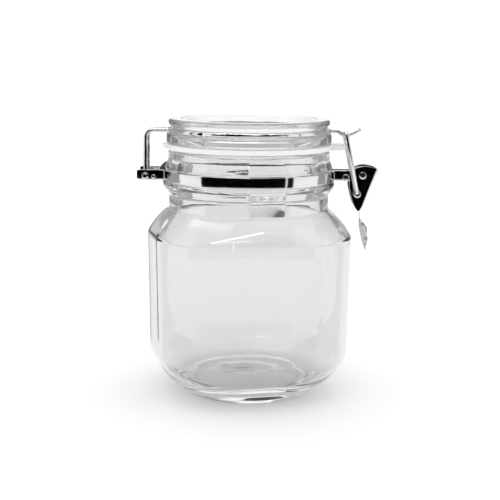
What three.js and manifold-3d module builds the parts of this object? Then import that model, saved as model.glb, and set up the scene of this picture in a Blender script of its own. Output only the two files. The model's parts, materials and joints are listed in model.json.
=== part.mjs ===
// A one-litre glass storage jar with a wire bail clamp: a squared glass body with a round neck, a
// glass lid on a silicone ring, a wire bail that hinges the lid on two half bands, and an
// over-centre lever whose wire loop pulls the nose of the bail down.
// Millimetres, +Z up. The jar's axis is the Z axis and the foot stands on z = 0. The hinge of the
// lid is at -X, the clamp lever at +X, and the jar is alike on its -Y and +Y sides.
import * as THREE from "three";
import { mergeVertices } from "three/addons/utils/BufferGeometryUtils.js";
import Module from "manifold-3d";

const wasm = await Module();
wasm.setup();

// Driving dimensions: the glass body
const bodyHalfWidth = 52.4; // axis to a flat, under the shoulder
const bodyCornerRadius = 41.0;
const bodyTurn = THREE.MathUtils.degToRad(14); // the squared body is turned about the neck
const bodyTaper = 1.0; // each side, from the shoulder down to the heel
const bodyWall = 3.2;
const rimTop = 131.0; // foot to sealing rim
const shoulderDrop = 30.7; // sealing rim to the foot of the neck
const shoulderHeight = 14.7;
const shoulderPower = 1.25;
const heelTop = 20.0;
const heelPower = 1.2;
const heelRound = 6.0; // height of the rounded corner above and below the heel
const footRadius = 33.6;
const footRound = 3.0;
const footRise = 1.6; // height at which the foot's rounding meets the heel
const recessRadius = 29.2;
const recessDepth = 0.8;
const recessDraft = 0.6;
const floorTop = 8.6; // height of the inside floor
const floorRadius = 33.0; // flat part of the inside floor
const bowlRise = 4.0; // the inside bowl starts this far above the heel
const shoulderDelay = 1.2; // the inside shoulder follows this far below the outside

// The neck: radii stepped from the finish, which is the glass ring above the bands
const finishRadius = 43.1;
const neckStep = 0.4; // the neck is narrower than the finish by this much
const seatStep = 1.5; // the band seat is wider
const lipStep = 2.8; // the bead under the bands is wider
const neckWall = 5.5;
const rimRound = 1.2;
const beadHeight = 8.5; // neck to band seat
const finishRise = 5.6; // band seat to finish
const mouthDrop = 5.0; // straight part of the mouth ends this far above the shoulder
const seatMarginLow = 0.5;
const seatMarginHigh = 0.4;
const lugReach = 3.4; // the glass lug stands this far out of the band seat at the hinge
const lugRoot = 2.5; // depth of the lug's centre in the seat
const lugRise = 0.4; // lug's centre above the strip's centre line
const lugHalfHeight = 6.4;
const lugHalfWidth = 4.6;

// The bands: flat strip, two halves
const stripThickness = 0.8;
const stripWidth = 5.4;
const stripDrop = 13.2; // sealing rim to the strip's centre line
const bandGap = 0.3; // band to glass
const hingeTabSpan = 9.3; // centre of each hinge tab from the XZ plane
const hingeTabRun = 13.4; // tip from the band's circle
const hingeTabRound = 1.1;
const leverArmSpan = 4.8;
const armEndMargin = 0.2;
const armRoundMargin = 0.1;

// The silicone ring and the lid
const gasketGap = 0.3;
const gasketThickness = 2.9;
const gasketSetBack = 0.1; // the ring's edge is inside the flange's edge
const gasketTabLength = 7.4;
const gasketTabHalfWidth = 6.4;
const gasketTabRound = 4.0;
const gasketBumpLength = 2.4;
const gasketBumpHalfWidth = 4.0;
const gasketBumpChamfer = 1.5;
const flangeOverhang = 0.9; // flange beyond the finish
const flangeThickness = 5.3;
const flangeEdge = 1.0;
const grooveDepth = 3.0;
const lidRimOverhang = 2.0; // rim beyond the groove
const lidRimWidth = 6.6;
const lidRimHeight = 7.6; // above the flange
const lidPanelDepth = 5.4; // below the rim
const lidPanelThickness = 4.6;
const plugGap = 1.9; // plug to mouth
const plugDepth = 6.0; // below the flange
const plugWall = 4.8;
const plugEdge = 1.2;

// The wire bail of the lid
const wireRadius = 1.1;
const wireGap = 0.3;
const hingeRun = 9.0; // hinge axis from the band's circle
const hingeDrop = 0.6; // hinge axis under the strip's centre line
const legLean = 0.3;
const bendRadius = 3.0;
const legTopRadius = 4.0;
const hingeBendRoom = 0.2; // inside radius of the bend at the hinge
const headWidth = 0.8; // the upset head stands this far beyond the wire
const headFlat = 0.4;
const headHeight = 0.8;
const noseSpan = 2.3; // centre of each nose strand from the XZ plane
const noseLead = 4.3; // straight stretch before the nose dips
const noseDepth = 2.8;
const noseLength = 7.3; // from the valley to the tip
const noseLift = 3.4;
const noseSetBack = 9.4; // valley inside the lever's pivot

// The clamp lever and its pull loop
const leverBodyClear = 8.05; // lever's pivot outside the body's flat
const leverBandClear = 14.75; // and outside the band's circle
const pivotRise = 0.3; // above the strip's centre line
const pinSetBack = 2.95; // loop pin inside the pivot
const pinDrop = 9.6;
const pinGap = 0.25;
const leverSheet = 0.8;
const leverSideGap = 0.3;
const tongueHalfWidth = 6.2;
const tongueSag = 3.4;
const loopGap = 0.15; // between the loop's wire and the nose it pulls on
const loopBend = 2.6;
const eyeWall = 1.2;
const eyeHalfLength = 0.75;

// The rivets
const hingeRivetRun = 4.6; // from the band's circle
const hingeRivetDrop = 0.9; // under the strip's centre line
const hingeRivet = { radius: 0.8, headRadius: 1.1, headHeight: 0.5 };
const tieRivetRun = 6.0; // from the band's circle
const tieRivetDrop = 1.0;
const tieRivet = { radius: 1.1, headRadius: 1.9, headHeight: 0.6 };
const pivotRivet = { radius: 1.3, headRadius: 2.1, headHeight: 0.5 };
const rivetGap = 0.15;

// Fineness of the round faces
const roundSides = 48;
const smallSides = 16;
const wireSides = 8;

// Derived sizes: the glass
const shoulderTop = rimTop - shoulderDrop;
const shoulderBottom = shoulderTop - shoulderHeight;
const neckRadius = finishRadius - neckStep;
const seatRadius = finishRadius + seatStep;
const lipRadius = finishRadius + lipStep;
const mouthRadius = neckRadius - neckWall;

// Derived sizes: the bands and what they carry
const bandInner = seatRadius + bandGap;
const bandOuter = bandInner + stripThickness;
const stripMiddle = rimTop - stripDrop;
const stripLow = stripMiddle - stripWidth / 2;
const stripHigh = stripMiddle + stripWidth / 2;
const hingeX = -(bandOuter + hingeRun);
const hingeZ = stripMiddle - hingeDrop;
const hingeTabTip = -(bandOuter + hingeTabRun);
const hingeRivetX = -(bandOuter + hingeRivetRun);
const hingeRivetZ = stripMiddle - hingeRivetDrop;
const tieRivetX = bandOuter + tieRivetRun;
const tieRivetZ = stripMiddle - tieRivetDrop;
const pivotX = Math.max(bodyHalfWidth + leverBodyClear, bandOuter + leverBandClear);
const pivotZ = stripMiddle + pivotRise;
const loopPinX = pivotX - pinSetBack;
const loopPinZ = pivotZ - pinDrop;
const loopPinRadius = wireRadius;
const loopEyeRadius = wireRadius + eyeWall;

// Derived sizes: the silicone ring and the lid
const gasketLow = rimTop + gasketGap;
const gasketHigh = gasketLow + gasketThickness;
const flangeLow = gasketHigh + gasketGap;
const flangeHigh = flangeLow + flangeThickness;
const flangeRadius = finishRadius + flangeOverhang;
const gasketRadius = flangeRadius - gasketSetBack;
const grooveRadius = flangeRadius - grooveDepth;
const lidRimRadius = grooveRadius + lidRimOverhang;
const lidRimInner = lidRimRadius - lidRimWidth;
const lidRimTop = flangeHigh + lidRimHeight;
const lidPanelTop = lidRimTop - lidPanelDepth;
const plugRadius = mouthRadius - plugGap;
const plugHollowRadius = plugRadius - plugWall;

// Derived sizes: the wires
const bailRadius = grooveRadius + wireGap + wireRadius;
const bailHeight = flangeHigh + wireGap + wireRadius;
const legSpan = hingeTabSpan - stripThickness / 2 - wireGap - wireRadius;
const noseStart = bailRadius + noseLead;
const noseValley = [pivotX - noseSetBack, bailHeight - noseDepth];
const noseTip = [noseValley[0] + noseLength, noseValley[1] + noseLift];
const plateInner = leverArmSpan + stripThickness / 2 + leverSideGap;
const plateOuter = plateInner + leverSheet;
const loopSpan = plateOuter + rivetGap + pivotRivet.headHeight + wireGap + wireRadius;
const noseDip = Math.atan2(noseDepth, noseValley[0] - noseStart);
const noseRise = Math.atan2(noseLift, noseLength);
const loopBarX = noseValley[0] - loopGap;
const loopBarZ = noseValley[1] + (2 * wireRadius + loopGap) / Math.cos((noseDip + noseRise) / 2);

const root = new THREE.Group();

function material(colour, roughness, metalness) {
  return new THREE.MeshStandardMaterial({ color: colour, roughness, metalness });
}

const glass = material(0xdfe6e4, 0.05, 0);
const steel = material(0xb9bcc0, 0.16, 1);
const silicone = material(0xeceae4, 0.5, 0);

function addPiece(name, geometry, look) {
  const mesh = new THREE.Mesh(geometry, look);
  mesh.name = name;
  root.add(mesh);
}

// Booleans: a closed geometry becomes a solid, and the result becomes a geometry again.
function solid(geometry) {
  const bare = new THREE.BufferGeometry();
  bare.setAttribute("position", geometry.getAttribute("position").clone());
  if (geometry.index) bare.setIndex(geometry.index.clone());
  const merged = mergeVertices(bare, 1e-4);
  return new wasm.Manifold(
    new wasm.Mesh({
      numProp: 3,
      vertProperties: merged.attributes.position.array,
      triVerts: new Uint32Array(merged.index.array),
    }),
  );
}

function geometryOf(made) {
  const mesh = made.getMesh();
  const geometry = new THREE.BufferGeometry();
  geometry.setAttribute("position", new THREE.BufferAttribute(mesh.vertProperties, 3));
  geometry.setIndex(new THREE.BufferAttribute(mesh.triVerts, 1));
  geometry.computeVertexNormals();
  return geometry;
}

// A lathe about Z: the profile is a closed list of [radius, height].
function lathe(profile, sides) {
  const points = profile.map(([r, z]) => new THREE.Vector2(r, z));
  const geometry = new THREE.LatheGeometry(points, sides);
  geometry.rotateX(Math.PI / 2);
  return geometry;
}

// A round bar along Y through (x, z), from y = low to y = high, stepped by [radius, y] pairs.
function barAlongY(profile, x, z, sides) {
  const geometry = new THREE.LatheGeometry(
    profile.map(([r, y]) => new THREE.Vector2(r, y)),
    sides,
  );
  geometry.translate(x, 0, z);
  return geometry;
}

function plainBar(radius, low, high, x, z, sides) {
  return barAlongY([[0, low], [radius, low], [radius, high], [0, high]], x, z, sides);
}

// An outline drawn in X and Z, as thick as from y = low to y = high.
function slabAlongY(shape, low, high, curveSegments) {
  const geometry = new THREE.ExtrudeGeometry(shape, {
    depth: high - low,
    bevelEnabled: false,
    curveSegments,
  });
  geometry.rotateX(Math.PI / 2);
  geometry.translate(0, high, 0);
  return geometry;
}

function roundedRectangle(left, low, right, high, leftRadius, rightRadius) {
  const shape = new THREE.Shape();
  shape.moveTo(left + leftRadius, low);
  shape.lineTo(right - rightRadius, low);
  shape.absarc(right - rightRadius, low + rightRadius, rightRadius, -Math.PI / 2, 0, false);
  shape.absarc(right - rightRadius, high - rightRadius, rightRadius, 0, Math.PI / 2, false);
  shape.lineTo(left + leftRadius, high);
  shape.absarc(left + leftRadius, high - leftRadius, leftRadius, Math.PI / 2, Math.PI, false);
  shape.absarc(left + leftRadius, low + leftRadius, leftRadius, Math.PI, 1.5 * Math.PI, false);
  return shape;
}

// A quarter of an ellipse in a profile, from one point to another, as [radius, height] points.
// The curve leaves the first point upright when uprightFirst is true, and flat otherwise.
function quarter(from, to, uprightFirst, steps) {
  const points = [];
  for (let i = 1; i <= steps; i += 1) {
    const angle = (i / steps) * (Math.PI / 2);
    const early = 1 - Math.cos(angle);
    const late = Math.sin(angle);
    const across = uprightFirst ? early : late;
    const along = uprightFirst ? late : early;
    points.push([
      from[0] + (to[0] - from[0]) * across,
      from[1] + (to[1] - from[1]) * along,
    ]);
  }
  return points;
}

// A bent wire: straight stretches through the corners, each corner rounded to its radius, swept
// with one step along each straight and several round each bend.
class BentWire extends THREE.Curve {
  constructor(corners, stepsPerTurn) {
    super();
    this.stops = [{ point: corners[0].at, heading: direction(corners[0].at, corners[1].at) }];
    for (let i = 1; i < corners.length - 1; i += 1) {
      const before = direction(corners[i - 1].at, corners[i].at);
      const after = direction(corners[i].at, corners[i + 1].at);
      const turn = before.angleTo(after);
      const inset = corners[i].radius * Math.tan(turn / 2);
      const start = corners[i].at.clone().addScaledVector(before, -inset);
      const inward = after.clone().addScaledVector(before, -before.dot(after)).normalize();
      const steps = Math.max(1, Math.ceil((turn / (2 * Math.PI)) * stepsPerTurn));
      for (let k = 0; k <= steps; k += 1) {
        const angle = (turn * k) / steps;
        this.stops.push({
          point: start
            .clone()
            .addScaledVector(before, corners[i].radius * Math.sin(angle))
            .addScaledVector(inward, corners[i].radius * (1 - Math.cos(angle))),
          heading: before
            .clone()
            .multiplyScalar(Math.cos(angle))
            .addScaledVector(inward, Math.sin(angle)),
        });
      }
    }
    const last = corners.length - 1;
    this.stops.push({
      point: corners[last].at,
      heading: direction(corners[last - 1].at, corners[last].at),
    });
  }
  stopAt(u) {
    return this.stops[Math.round(u * (this.stops.length - 1))];
  }
  getPoint(u, target = new THREE.Vector3()) {
    return target.copy(this.stopAt(u).point);
  }
  getTangent(u, target = new THREE.Vector3()) {
    return target.copy(this.stopAt(u).heading);
  }
  getPointAt(u, target) {
    return this.getPoint(u, target);
  }
  getTangentAt(u, target) {
    return this.getTangent(u, target);
  }
}

function direction(from, to) {
  return to.clone().sub(from).normalize();
}

function corner(x, y, z, radius = 0) {
  return { at: new THREE.Vector3(x, y, z), radius };
}

function wire(corners, radius, stepsPerTurn) {
  const path = new BentWire(corners, stepsPerTurn);
  const section = new THREE.Shape();
  section.absarc(0, 0, radius, 0, 2 * Math.PI, false);
  return new THREE.ExtrudeGeometry(section, {
    steps: path.stops.length - 1,
    extrudePath: path,
    curveSegments: wireSides / 2,
    bevelEnabled: false,
  });
}

// The glass body is a lathe whose round section is squared below the neck. A squared section is
// a rounded square of a half width and a corner radius; at the neck and the foot they are equal,
// which is a circle.
function squareness(z) {
  if (z >= shoulderTop) return 0;
  if (z >= shoulderBottom) {
    const down = (shoulderTop - z) / (shoulderTop - shoulderBottom);
    return (1 - (1 - down) ** shoulderPower) ** (1 / shoulderPower);
  }
  if (z >= heelTop) return 1;
  const drop = Math.min(1, (heelTop - z) / heelTop);
  return (1 - drop ** heelPower) ** (1 / heelPower);
}

function bodyRadius(z) {
  if (z >= shoulderTop) return neckRadius;
  if (z >= shoulderBottom) return neckRadius + (bodyHalfWidth - neckRadius) * squareness(z);
  if (z >= heelTop) {
    return bodyHalfWidth - (bodyTaper * (shoulderBottom - z)) / (shoulderBottom - heelTop);
  }
  return footRadius + (bodyHalfWidth - bodyTaper - footRadius) * squareness(z);
}

// How much farther than its flat the rounded square reaches at an angle from the X axis.
function squaredReach(angle) {
  const quarterTurn = Math.PI / 2;
  const folded = (((angle - bodyTurn) % quarterTurn) + quarterTurn) % quarterTurn;
  const a = Math.min(folded, quarterTurn - folded);
  const flat = bodyHalfWidth - bodyCornerRadius;
  if (bodyHalfWidth * Math.tan(a) <= flat) return 1 / Math.cos(a);
  const along = flat * (Math.cos(a) + Math.sin(a));
  const reach = along + Math.sqrt(along ** 2 - 2 * flat ** 2 + bodyCornerRadius ** 2);
  return reach / bodyHalfWidth;
}

// The wall runs from the neck's thickness to the body's as the section widens.
function innerRadius(z) {
  const share = (bodyRadius(z) - neckRadius) / (bodyHalfWidth - neckRadius);
  const wall = neckWall + (bodyWall - neckWall) * Math.min(1, Math.max(0, share));
  return bodyRadius(z) - wall;
}

function footAndHeel() {
  const points = [
    [0, recessDepth],
    [recessRadius - recessDraft, recessDepth],
    [recessRadius, 0],
    [footRadius - footRound, 0],
    ...quarter([footRadius - footRound, 0], [bodyRadius(footRise), footRise], false, 3),
  ];
  const heelSteps = 5;
  const roundLow = heelTop - heelRound;
  const roundHigh = heelTop + heelRound;
  for (let i = 1; i <= heelSteps; i += 1) {
    const z = footRise + ((roundLow - footRise) * i) / heelSteps;
    points.push([bodyRadius(z), z]);
  }
  const corner = new THREE.QuadraticBezierCurve(
    new THREE.Vector2(bodyRadius(roundLow), roundLow),
    new THREE.Vector2(bodyRadius(heelTop), heelTop),
    new THREE.Vector2(bodyRadius(roundHigh), roundHigh),
  );
  for (const point of corner.getPoints(4).slice(1)) points.push([point.x, point.y]);
  return points;
}

// Heights that crowd towards both ends of the shoulder, from its bottom to its top.
function shoulderHeights() {
  const steps = 8;
  const heights = [];
  for (let i = 0; i <= steps; i += 1) {
    const rise = (1 - Math.cos((Math.PI * i) / steps)) / 2;
    heights.push(shoulderBottom + shoulderHeight * rise);
  }
  return heights;
}

// Two heights that cut the body's straight side in three.
function sideHeights() {
  const low = heelTop + heelRound;
  return [1 / 3, 2 / 3].map((share) => low + (shoulderBottom - low) * share);
}

function neckAndMouth() {
  const seatLow = stripLow - seatMarginLow;
  const seatHigh = stripHigh + seatMarginHigh;
  return [
    [neckRadius, seatLow - beadHeight],
    [neckRadius + 0.5, seatLow - 0.65 * beadHeight],
    [lipRadius - 0.6, seatLow - 0.34 * beadHeight],
    [lipRadius, seatLow - 0.21 * beadHeight],
    [lipRadius - 0.3, seatLow - 0.07 * beadHeight],
    [seatRadius, seatLow],
    [seatRadius, seatHigh],
    [seatRadius + 0.2, seatHigh + 0.14 * finishRise],
    [seatRadius - 0.3, seatHigh + 0.4 * finishRise],
    [finishRadius + 0.3, seatHigh + 0.75 * finishRise],
    [finishRadius, seatHigh + finishRise],
    [finishRadius, rimTop - rimRound],
    ...quarter([finishRadius, rimTop - rimRound], [finishRadius - rimRound, rimTop], true, 3),
    [mouthRadius + rimRound, rimTop],
    ...quarter([mouthRadius + rimRound, rimTop], [mouthRadius, rimTop - rimRound], false, 3),
    [mouthRadius, shoulderTop + mouthDrop],
  ];
}

function bowl() {
  const steps = 8;
  const top = heelTop + bowlRise;
  const points = [];
  for (let i = 0; i <= steps; i += 1) {
    const angle = (i / steps) * (Math.PI / 2);
    points.push([
      floorRadius + (innerRadius(top) - floorRadius) * Math.cos(angle),
      top - (top - floorTop) * Math.sin(angle) ** 1.1,
    ]);
  }
  points.push([0, floorTop]);
  return points;
}

function jarProfile() {
  const outside = (z) => [bodyRadius(z), z];
  const inside = (z) => [innerRadius(z), z];
  const insideShoulder = shoulderHeights().map((z) => z - shoulderDelay);
  return [
    ...footAndHeel(),
    ...sideHeights().map(outside),
    ...shoulderHeights().map(outside),
    ...neckAndMouth(),
    ...insideShoulder.reverse().map(inside),
    ...sideHeights().reverse().map(inside),
    ...bowl(),
  ];
}

function jarGlass() {
  const geometry = lathe(jarProfile(), roundSides);
  const position = geometry.getAttribute("position");
  for (let i = 0; i < position.count; i += 1) {
    const x = position.getX(i);
    const y = position.getY(i);
    const amount = squareness(position.getZ(i));
    const stretch = 1 + amount * (squaredReach(Math.atan2(y, x)) - 1);
    position.setX(i, x * stretch);
    position.setY(i, y * stretch);
  }
  const lug = new THREE.SphereGeometry(1, 16, 10);
  lug.scale(lugReach + lugRoot, lugHalfWidth, lugHalfHeight);
  lug.translate(-(seatRadius - lugRoot), 0, stripMiddle + lugRise);
  return geometryOf(solid(geometry).add(solid(lug)));
}

function lidGlass() {
  const plugLow = flangeLow - plugDepth;
  const grooveHigh = bailHeight + wireRadius + wireGap;
  const panelLow = lidPanelTop - lidPanelThickness;
  const profile = [
    [0, panelLow],
    [plugHollowRadius - 3, panelLow],
    [plugHollowRadius, plugLow + plugEdge],
    [plugHollowRadius + 1.0, plugLow],
    [plugRadius - 1.9, plugLow],
    [plugRadius - 0.8, plugLow + plugEdge],
    [plugRadius, flangeLow],
    [flangeRadius - flangeEdge, flangeLow],
    [flangeRadius, flangeLow + flangeEdge],
    [flangeRadius, flangeHigh - flangeEdge],
    [flangeRadius - 0.6 * flangeEdge, flangeHigh],
    [grooveRadius, flangeHigh],
    [grooveRadius, grooveHigh],
    [lidRimRadius - 0.4, lidRimTop - 2.2],
    [lidRimRadius, lidRimTop - 1.4],
    [lidRimRadius - 0.3, lidRimTop - 0.5],
    [lidRimRadius - 1.2, lidRimTop],
    [lidRimInner + 1.2, lidRimTop],
    [lidRimInner + 0.3, lidRimTop - 0.6],
    [lidRimInner - 1.4, lidPanelTop + 0.5],
    [lidRimInner - 3.2, lidPanelTop],
    [0, lidPanelTop],
  ];
  return lathe(profile, roundSides);
}

function gasket() {
  const outline = new THREE.Shape();
  const tabAngle = Math.asin(gasketTabHalfWidth / gasketRadius);
  const bumpAngle = Math.asin(gasketBumpHalfWidth / gasketRadius);
  const bumpReach = gasketRadius + gasketBumpLength;
  const bumpFlat = gasketBumpHalfWidth - gasketBumpChamfer;
  outline.absarc(0, 0, gasketRadius, tabAngle, Math.PI - bumpAngle, false);
  outline.lineTo(-bumpReach, bumpFlat);
  outline.lineTo(-bumpReach, -bumpFlat);
  outline.absarc(0, 0, gasketRadius, Math.PI + bumpAngle, 2 * Math.PI - tabAngle, false);
  const tabEnd = gasketRadius + gasketTabLength - gasketTabRound;
  const tabSide = gasketTabHalfWidth - gasketTabRound;
  outline.absarc(tabEnd, -tabSide, gasketTabRound, -Math.PI / 2, 0, false);
  outline.absarc(tabEnd, tabSide, gasketTabRound, 0, Math.PI / 2, false);
  const hole = new THREE.Path();
  hole.absarc(0, 0, plugRadius + gasketGap, 0, 2 * Math.PI, true);
  outline.holes.push(hole);
  const geometry = new THREE.ExtrudeGeometry(outline, {
    depth: gasketThickness,
    bevelEnabled: false,
    curveSegments: roundSides / 2,
  });
  geometry.translate(0, 0, gasketLow);
  return geometry;
}

// One half band: most of a half circle with a flat tab at each end. side is -1 for the half at -Y
// and 1 for the half at +Y.
function bandHalf(side) {
  const half = stripThickness / 2;
  const armEnd = pivotX + stripWidth / 2 - armEndMargin;
  const armRound = stripWidth / 2 - armRoundMargin;
  const outerTurns = [hingeTabSpan, leverArmSpan].map((y) => Math.asin((y + half) / bandOuter));
  const innerTurns = [hingeTabSpan, leverArmSpan].map((y) => Math.asin((y - half) / bandInner));
  const shape = new THREE.Shape();
  shape.moveTo(hingeTabTip, hingeTabSpan + half);
  shape.absarc(0, 0, bandOuter, Math.PI - outerTurns[0], outerTurns[1], true);
  shape.lineTo(armEnd, leverArmSpan + half);
  shape.lineTo(armEnd, leverArmSpan - half);
  shape.absarc(0, 0, bandInner, innerTurns[1], Math.PI - innerTurns[0], false);
  shape.lineTo(hingeTabTip, hingeTabSpan - half);
  const plan = new THREE.ExtrudeGeometry(shape, {
    depth: stripWidth,
    bevelEnabled: false,
    curveSegments: 30,
  });
  plan.translate(0, 0, stripLow);
  const face = roundedRectangle(
    hingeTabTip,
    stripLow,
    armEnd,
    stripHigh,
    hingeTabRound,
    armRound,
  );
  let made = solid(plan).intersect(solid(slabAlongY(face, 0, 2 * bandOuter, 6)));
  const holes = [
    [hingeX, hingeZ, wireRadius + pinGap],
    [hingeRivetX, hingeRivetZ, hingeRivet.radius + rivetGap],
    [tieRivetX, tieRivetZ, tieRivet.radius + rivetGap],
    [pivotX, pivotZ, pivotRivet.radius + rivetGap],
  ];
  for (const [x, z, radius] of holes) {
    made = made.subtract(solid(plainBar(radius, 0, bandOuter, x, z, smallSides)));
  }
  const geometry = geometryOf(made);
  if (side > 0) return geometry;
  return mirrored(geometry);
}

// The same piece on the other side of the XZ plane, with its faces still pointing out.
function mirrored(geometry) {
  const copy = geometry.clone();
  copy.scale(1, -1, 1);
  const index = copy.index.array;
  for (let i = 0; i < index.length; i += 3) {
    const second = index[i + 1];
    index[i + 1] = index[i + 2];
    index[i + 2] = second;
  }
  copy.computeVertexNormals();
  return copy;
}

// A rivet along Y with a domed head outside each of the two faces it holds.
function rivet(x, z, face, size) {
  const start = face + rivetGap;
  const half = [
    [size.radius, start],
    [size.headRadius, start],
    [size.headRadius, start + 0.35 * size.headHeight],
    [0.72 * size.headRadius, start + 0.85 * size.headHeight],
    [0, start + size.headHeight],
  ];
  const low = half.map(([r, y]) => [r, -y]).reverse();
  return barAlongY([...low, ...half], x, z, smallSides);
}

// The bail: from the near hinge tab up, round the front of the lid, out to the nose and back
// round the rear of the lid to the far hinge tab.
function lidBail() {
  const headInner = hingeTabSpan + stripThickness / 2 + rivetGap;
  const headOuter = headInner + headHeight;
  const ringCorners = [];
  const turnCentre = bailRadius + bendRadius;
  const legTurn = Math.acos((legSpan + bendRadius) / turnCentre);
  const noseTurn = Math.acos((noseSpan + bendRadius) / turnCentre);
  const first = -Math.PI / 2 - legTurn;
  const last = -Math.PI / 2 + noseTurn;
  const ringSteps = 18;
  const ringStep = (last - first) / ringSteps;
  const chordRadius = bailRadius / Math.cos(ringStep / 2);
  for (let i = 0; i < ringSteps; i += 1) {
    const angle = first + (i + 0.5) * ringStep;
    ringCorners.push(
      corner(chordRadius * Math.cos(angle), chordRadius * Math.sin(angle), bailHeight, bailRadius),
    );
  }
  const legMeet = meetingOnSpan(first, -legSpan);
  const noseMeet = meetingOnSpan(last, -noseSpan);
  const near = [
    corner(hingeX, -headInner - headFlat, hingeZ),
    corner(hingeX, -legSpan, hingeZ, wireRadius + hingeBendRoom),
    corner(hingeX + legLean, -legSpan, bailHeight, legTopRadius),
    corner(legMeet, -legSpan, bailHeight, bendRadius),
    ...ringCorners,
    corner(noseMeet, -noseSpan, bailHeight, bendRadius),
    corner(noseStart, -noseSpan, bailHeight, 2),
    corner(noseValley[0], -noseSpan, noseValley[1], 2.5),
    corner(noseTip[0], -noseSpan, noseTip[1], noseSpan * 0.98),
  ];
  const far = near.map(({ at, radius }) => corner(at.x, -at.y, at.z, radius)).reverse();
  const body = solid(wire([...near, ...far], wireRadius, 24));
  const head = [
    [0, headInner],
    [wireRadius + headWidth, headInner],
    [wireRadius + headWidth, headInner + headFlat],
    [wireRadius + headWidth / 4, headOuter],
    [0, headOuter],
  ];
  const farHead = solid(barAlongY(head, hingeX, hingeZ, smallSides));
  const nearHead = solid(
    barAlongY(head.map(([r, y]) => [r, -y]).reverse(), hingeX, hingeZ, smallSides),
  );
  return geometryOf(body.add(farHead).add(nearHead));
}

// Where the straight at height y = span meets the line that touches the bail's ring at angle.
function meetingOnSpan(angle, span) {
  const x = bailRadius * Math.cos(angle);
  const y = bailRadius * Math.sin(angle);
  return x + ((span - y) * -Math.sin(angle)) / Math.cos(angle);
}

// The pull loop: an eye on each side of the lever, two legs and the bar that hooks the nose.
function pullLoop() {
  const near = [
    corner(loopPinX, -loopSpan, loopPinZ),
    corner(loopBarX, -loopSpan, loopBarZ, loopBend),
  ];
  const far = near.map(({ at, radius }) => corner(at.x, -at.y, at.z, radius)).reverse();
  let made = solid(wire([...near, ...far], wireRadius, 28));
  const pinEnd = plateInner + 0.1;
  const eyeEnd = loopSpan + eyeHalfLength + 0.15;
  const eye = [
    [0, pinEnd],
    [loopPinRadius, pinEnd],
    [loopPinRadius, loopSpan - eyeHalfLength],
    [loopEyeRadius, loopSpan - eyeHalfLength],
    [loopEyeRadius, eyeEnd - 0.3],
    [loopEyeRadius - 0.5, eyeEnd],
    [0, eyeEnd],
  ];
  made = made.add(solid(barAlongY(eye, loopPinX, loopPinZ, smallSides)));
  const nearEye = eye.map(([r, y]) => [r, -y]).reverse();
  made = made.add(solid(barAlongY(nearEye, loopPinX, loopPinZ, smallSides)));
  return geometryOf(made);
}

// The lever: two side plates joined by a web along their outer edge, and a cupped tongue below.
// Its outline is seen from -Y and set out from the pivot.
const webTop = [8.3, 3.3];
const webLow = [0.5, -17.4];

function fromPivot([x, z]) {
  return new THREE.Vector2(pivotX + x, pivotZ + z);
}

function leverOutline() {
  const points = [
    webTop,
    [0.6, 6.3],
    [-3.9, 3.7],
    [-5.7, 0.9],
    [-7.1, -2.6],
    [-7.0, -6.2],
    [-5.7, -12.8],
    [-4.1, -16.6],
    [-1.9, -19.9],
    webLow,
  ].map(fromPivot);
  const [start, crown, topLeft, leftTop, bulge, leftMiddle, waist, leftLow, tip, end] = points;
  const shape = new THREE.Shape();
  shape.moveTo(start.x, start.y);
  shape.quadraticCurveTo(crown.x, crown.y, topLeft.x, topLeft.y);
  shape.lineTo(leftTop.x, leftTop.y);
  shape.quadraticCurveTo(bulge.x, bulge.y, leftMiddle.x, leftMiddle.y);
  shape.quadraticCurveTo(waist.x, waist.y, leftLow.x, leftLow.y);
  shape.lineTo(tip.x, tip.y);
  shape.lineTo(end.x, end.y);
  return shape;
}

// What the side plates leave open: everything inside the web.
function leverInside() {
  const along = fromPivot(webTop).sub(fromPivot(webLow)).normalize();
  const inside = new THREE.Vector2(-1.05, 0); // the web's thickness, measured along X
  const top = fromPivot(webTop).add(inside).addScaledVector(along, 12);
  const low = fromPivot(webLow).add(inside).addScaledVector(along, 0.6);
  const left = pivotX - 14;
  const bottom = pivotZ - 24;
  const shape = new THREE.Shape();
  shape.moveTo(top.x, top.y);
  shape.lineTo(left, top.y);
  shape.lineTo(left, bottom);
  shape.lineTo(low.x - 2.2, bottom);
  shape.lineTo(low.x - 1.2, low.y - 1.4);
  shape.lineTo(low.x, low.y);
  return shape;
}

function lever() {
  let made = solid(slabAlongY(leverOutline(), -plateOuter, plateOuter, 8));
  made = made.subtract(solid(slabAlongY(leverInside(), -plateInner, plateInner, 6)));
  const reach = 2 * plateOuter;
  const pivotBore = plainBar(pivotRivet.radius + rivetGap, -reach, reach, pivotX, pivotZ, smallSides);
  const pinBore = plainBar(loopPinRadius + pinGap, -reach, reach, loopPinX, loopPinZ, smallSides);
  made = made.subtract(solid(pivotBore)).subtract(solid(pinBore));
  made = made.add(tongue());
  return geometryOf(made);
}

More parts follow.
